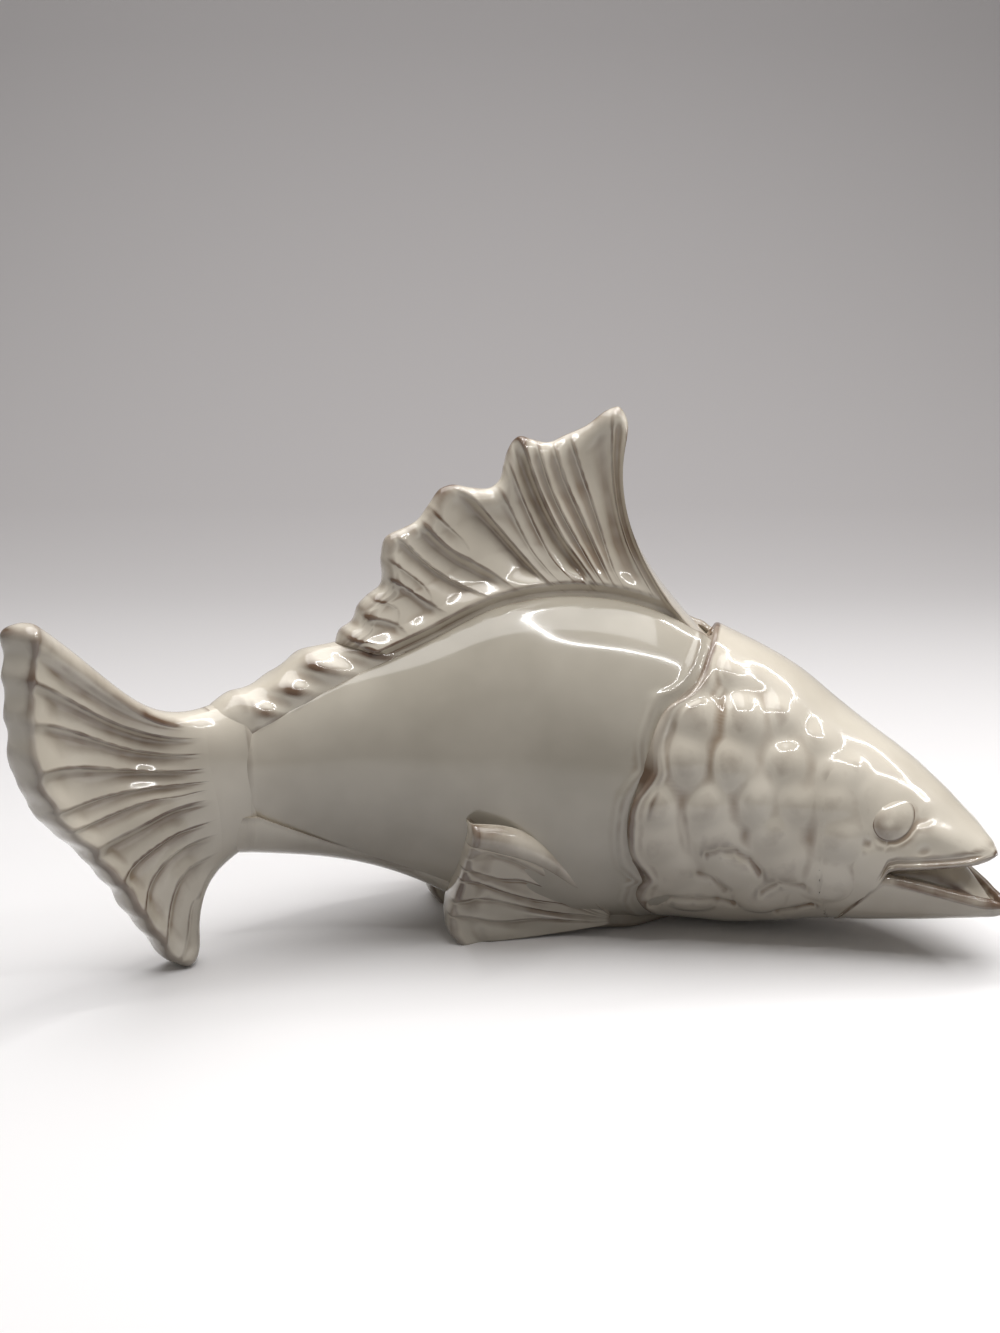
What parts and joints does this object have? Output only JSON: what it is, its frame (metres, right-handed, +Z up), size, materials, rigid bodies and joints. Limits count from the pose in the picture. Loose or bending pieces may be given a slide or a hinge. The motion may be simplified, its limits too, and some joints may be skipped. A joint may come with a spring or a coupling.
{
  "type": "fish figurine",
  "caption": "Hollow glazed ceramic fish ornament, curled to one side, with a fluted dorsal fin, scaled head, open mouth and a fan tail, resting on its belly.",
  "frame": {"origin": "middle of the flat foot, on the surface that the fish stands on", "axes": "+X towards the head, +Y towards the fish's left side, +Z up"},
  "size_m": [0.299, 0.1276, 0.1705],
  "materials": {
    "panel_glaze": "glossy cream glaze",
    "scale_glaze": "glossy cream glaze, brown in the valleys",
    "fin_glaze": "glossy cream glaze, breaking brown on the edges",
    "keel_glaze": "glossy cream glaze, wiped bare under the foot"
  },
  "bodies": {
    "root": {"right_flank": "panel_glaze", "left_flank": "panel_glaze", "belly_keel": "keel_glaze", "dorsal_fin": "fin_glaze", "back_ridge": "fin_glaze", "tail_stalk": "panel_glaze", "tail_fin": "fin_glaze", "head_shell": "scale_glaze", "lower_jaw": "scale_glaze", "right_eye": "scale_glaze", "left_eye": "scale_glaze", "right_pectoral_fin": "fin_glaze", "left_pectoral_fin": "fin_glaze"}
  },
  "joints": []
}
